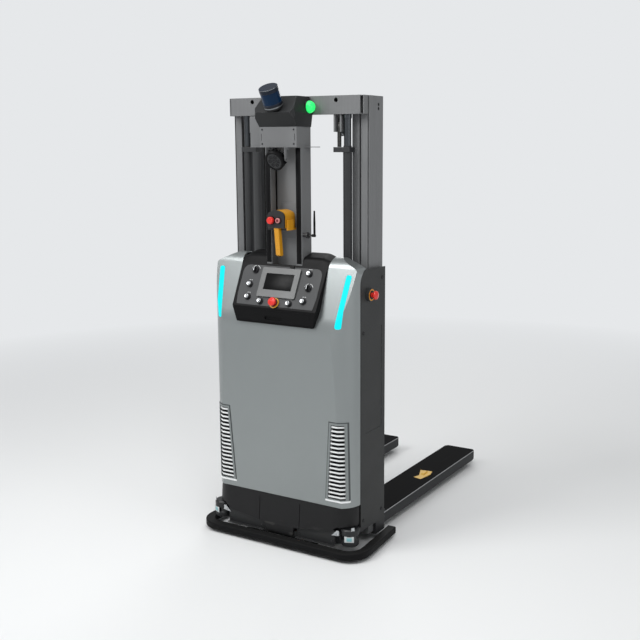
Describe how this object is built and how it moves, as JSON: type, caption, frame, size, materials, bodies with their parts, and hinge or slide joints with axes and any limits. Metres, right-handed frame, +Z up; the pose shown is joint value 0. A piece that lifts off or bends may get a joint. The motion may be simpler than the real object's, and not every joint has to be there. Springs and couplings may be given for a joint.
{
  "type": "autonomous pallet stacker",
  "caption": "Driverless pallet stacker: two forks on a two-stage mast, silver hood with sloping operator console, sensor head on a column and a floor-level bumper.",
  "frame": {"origin": "on the floor, under the middle of the overall length, on the centre plane", "axes": "+Y points from the console to the fork tips, +X to the right seen from the console, +Z up"},
  "size_m": [0.908, 1.5919, 2.1158],
  "materials": {
    "frame_steel": "satin dark grey powder coat",
    "mast_steel": "satin mid grey paint",
    "fork_steel": "satin black paint worn bright at the edges",
    "shell_plastic": "silver grey metallic paint on a moulded hood",
    "panel_paint": "dark grey powder coat",
    "slat_plastic": "white moulded slats",
    "light_plastic": "cyan diffuser",
    "hood_plastic": "fine grained black moulding",
    "panel_plastic": "dark grey film",
    "screen_plastic": "black bezel",
    "chrome_rod": "hard chromed",
    "chain_steel": "oiled steel",
    "zinc_steel": "zinc plated",
    "box_plastic": "grey powder coat",
    "lens_blue": "dark blue infrared window",
    "lens_green": "green diffuser",
    "scanner_yellow": "yellow moulding",
    "bumper_rubber": "black rubber",
    "wheel_tread": "brown polyurethane tread",
    "caster_tread": "dark polyurethane tread",
    "motor_paint": "black enamel",
    "battery_paint": "grey enamel",
    "stop_red": "red cap",
    "button_plastic": "dark cap in a bright ring",
    "remote_yellow": "yellow moulding",
    "enable_red": "red cap",
    "aerial_black": "black sheath",
    "flap_yellow": "yellow paint"
  },
  "bodies": {
    "truck": {"chassis_frame": "frame_steel", "support_legs": "frame_steel", "front_shell": "shell_plastic", "side_panel_left": "panel_paint", "side_panel_right": "panel_paint", "base_skirt": "hood_plastic", "louvre_inserts": "slat_plastic", "light_strips": "light_plastic", "console_hood": "hood_plastic", "instrument_panel": "panel_plastic", "screen_unit": "screen_plastic", "outer_mast": "mast_steel", "cylinder_barrels": "frame_steel", "column": "box_plastic", "sensor_box": "box_plastic", "sensor_hood": "hood_plastic", "lidar_body": "zinc_steel", "lidar_window": "lens_blue", "signal_beacon": "lens_green", "safety_scanners": "scanner_yellow", "battery_pack": "battery_paint", "hydraulic_unit": "motor_paint", "drive_controller": "zinc_steel", "pendant_holster": "hood_plastic"},
    "bumper": {"bumper_ring": "bumper_rubber"},
    "lift_stage": {"inner_mast": "mast_steel", "crosshead": "mast_steel", "piston_rods": "chrome_rod", "lift_chains": "chain_steel"},
    "sheave_left": {"chain_sheave_left": "zinc_steel"},
    "sheave_right": {"chain_sheave_right": "zinc_steel"},
    "fork_carriage": {"carriage": "mast_steel", "fork_left": "fork_steel", "fork_right": "fork_steel"},
    "flap": {"pallet_flap": "flap_yellow"},
    "drive": {"drive_unit": "motor_paint"},
    "traction_wheel": {"drive_wheel": "wheel_tread"},
    "caster_left": {"caster_fork_left": "zinc_steel"},
    "caster_right": {"caster_fork_right": "zinc_steel"},
    "caster_left_wheel": {"caster_wheel_left": "caster_tread"},
    "caster_right_wheel": {"caster_wheel_right": "caster_tread"},
    "roller_left": {"load_roller_left": "caster_tread"},
    "roller_right": {"load_roller_right": "caster_tread"},
    "console_stop": {"console_estop": "stop_red"},
    "side_stop_left": {"side_estop_left": "stop_red"},
    "side_stop_right": {"side_estop_right": "stop_red"},
    "hatch": {"console_hatch": "hood_plastic"},
    "aerial": {"antenna": "aerial_black"},
    "lamp": {"spotlight": "motor_paint"},
    "remote": {"pendant": "remote_yellow"},
    "remote_stop": {"pendant_stop": "stop_red"},
    "remote_enable": {"pendant_enable": "enable_red"},
    "button_start": {"button_start": "button_plastic"},
    "button_reset": {"button_reset": "button_plastic"},
    "button_mode": {"button_mode": "button_plastic"},
    "button_lower": {"button_lower": "button_plastic"},
    "button_lift": {"button_lift": "button_plastic"},
    "button_power": {"button_power": "button_plastic"},
    "selector_left": {"selector_left": "button_plastic"},
    "selector_right": {"selector_right": "button_plastic"}
  },
  "joints": [
    {"name": "mast_lift", "type": "slide", "parent": "truck", "child": "lift_stage", "axis": [0, 0, 1], "range_m": [0, 1.45]},
    {"name": "carriage_lift", "type": "slide", "parent": "lift_stage", "child": "fork_carriage", "axis": [0, 0, 1], "range_m": [0, 1.45], "deforming": ["lift_chains"]},
    {"name": "sheave_left_turn", "type": "hinge", "parent": "lift_stage", "child": "sheave_left", "pos_m": [-0.228, -0.5145, 1.93], "axis": [1, 0, 0], "range_deg": [0, 2400]},
    {"name": "sheave_right_turn", "type": "hinge", "parent": "lift_stage", "child": "sheave_right", "pos_m": [0.228, -0.5145, 1.93], "axis": [1, 0, 0], "range_deg": [0, 2400]},
    {"name": "steer", "type": "hinge", "parent": "truck", "child": "drive", "pos_m": [0, -0.5965, 0.115], "axis": [0, 0, 1], "range_deg": [-90, 90]},
    {"name": "traction", "type": "hinge", "parent": "drive", "child": "traction_wheel", "pos_m": [0, -0.5965, 0.115], "axis": [1, 0, 0], "continuous": true},
    {"name": "caster_left_swivel", "type": "hinge", "parent": "truck", "child": "caster_left", "pos_m": [-0.24, -0.6095, 0.12], "axis": [0, 0, 1], "continuous": true},
    {"name": "caster_left_roll", "type": "hinge", "parent": "caster_left", "child": "caster_left_wheel", "pos_m": [-0.24, -0.5795, 0.05], "axis": [1, 0, 0], "continuous": true},
    {"name": "caster_right_swivel", "type": "hinge", "parent": "truck", "child": "caster_right", "pos_m": [0.24, -0.6095, 0.12], "axis": [0, 0, 1], "continuous": true},
    {"name": "caster_right_roll", "type": "hinge", "parent": "caster_right", "child": "caster_right_wheel", "pos_m": [0.24, -0.5795, 0.05], "axis": [1, 0, 0], "continuous": true},
    {"name": "roller_left_roll", "type": "hinge", "parent": "truck", "child": "roller_left", "pos_m": [-0.25, 0.5805, 0.039], "axis": [1, 0, 0], "continuous": true},
    {"name": "roller_right_roll", "type": "hinge", "parent": "truck", "child": "roller_right", "pos_m": [0.25, 0.5805, 0.039], "axis": [1, 0, 0], "continuous": true},
    {"name": "bumper_press", "type": "slide", "parent": "truck", "child": "bumper", "axis": [0, 1, 0], "range_m": [0, 0.012], "stiffness_N_per_m": 6000, "springref_m": -0.002},
    {"name": "flap_press", "type": "hinge", "parent": "fork_carriage", "child": "flap", "pos_m": [0.272, 0.1835, 0.085], "axis": [-1, 0, 0], "range_deg": [0, 4.5], "stiffness_Nm_per_rad": 1.5, "springref_deg": -4.58},
    {"name": "console_stop_press", "type": "slide", "parent": "truck", "child": "console_stop", "axis": [0, 0.8949, -0.4462], "range_m": [0, 0.005], "stiffness_N_per_m": 2500, "springref_m": -0.001},
    {"name": "side_stop_left_press", "type": "slide", "parent": "truck", "child": "side_stop_left", "axis": [1, 0, 0], "range_m": [0, 0.005], "stiffness_N_per_m": 2500, "springref_m": -0.001},
    {"name": "side_stop_right_press", "type": "slide", "parent": "truck", "child": "side_stop_right", "axis": [-1, 0, 0], "range_m": [0, 0.005], "stiffness_N_per_m": 2500, "springref_m": -0.001},
    {"name": "button_start_press", "type": "slide", "parent": "truck", "child": "button_start", "axis": [0, 0.8949, -0.4462], "range_m": [0, 0.004], "stiffness_N_per_m": 900, "springref_m": -0.0008},
    {"name": "button_reset_press", "type": "slide", "parent": "truck", "child": "button_reset", "axis": [0, 0.8949, -0.4462], "range_m": [0, 0.004], "stiffness_N_per_m": 900, "springref_m": -0.0008},
    {"name": "button_mode_press", "type": "slide", "parent": "truck", "child": "button_mode", "axis": [0, 0.8949, -0.4462], "range_m": [0, 0.004], "stiffness_N_per_m": 900, "springref_m": -0.0008},
    {"name": "button_lower_press", "type": "slide", "parent": "truck", "child": "button_lower", "axis": [0, 0.8949, -0.4462], "range_m": [0, 0.004], "stiffness_N_per_m": 900, "springref_m": -0.0008},
    {"name": "button_lift_press", "type": "slide", "parent": "truck", "child": "button_lift", "axis": [0, 0.8949, -0.4462], "range_m": [0, 0.004], "stiffness_N_per_m": 900, "springref_m": -0.0008},
    {"name": "button_power_press", "type": "slide", "parent": "truck", "child": "button_power", "axis": [0, 0.8949, -0.4462], "range_m": [0, 0.004], "stiffness_N_per_m": 900, "springref_m": -0.0008},
    {"name": "selector_left_turn", "type": "hinge", "parent": "truck", "child": "selector_left", "pos_m": [-0.145, -0.68197, 1.28551], "axis": [0, -0.8949, 0.4462], "range_deg": [-45, 45]},
    {"name": "selector_right_turn", "type": "hinge", "parent": "truck", "child": "selector_right", "pos_m": [0.16, -0.71231, 1.22465], "axis": [0, -0.8949, 0.4462], "range_deg": [-45, 45]},
    {"name": "hatch_open", "type": "hinge", "parent": "truck", "child": "hatch", "pos_m": [0, -0.7515, 1.065], "axis": [1, 0, 0], "range_deg": [0, 75]},
    {"name": "aerial_fold", "type": "hinge", "parent": "truck", "child": "aerial", "pos_m": [0.155, -0.6505, 1.455], "axis": [1, 0, 0], "range_deg": [-90, 90]},
    {"name": "lamp_tilt", "type": "hinge", "parent": "truck", "child": "lamp", "pos_m": [0, -0.7145, 1.79], "axis": [1, 0, 0], "range_deg": [-25, 25]},
    {"name": "remote_lift", "type": "slide", "parent": "truck", "child": "remote", "axis": [0, 0, 1], "range_m": [0, 0.09]},
    {"name": "remote_stop_press", "type": "slide", "parent": "remote", "child": "remote_stop", "axis": [0, 1, 0], "range_m": [0, 0.004], "stiffness_N_per_m": 900, "springref_m": -0.0008},
    {"name": "remote_enable_press", "type": "slide", "parent": "remote", "child": "remote_enable", "axis": [0, 1, 0], "range_m": [0, 0.004], "stiffness_N_per_m": 900, "springref_m": -0.0008}
  ],
  "couplings": [
    {"joint": "carriage_lift", "follows": "mast_lift", "ratio": 1},
    {"joint": "sheave_left_turn", "follows": "mast_lift", "rad_per_m": 27.778},
    {"joint": "sheave_right_turn", "follows": "mast_lift", "rad_per_m": 27.778}
  ]
}
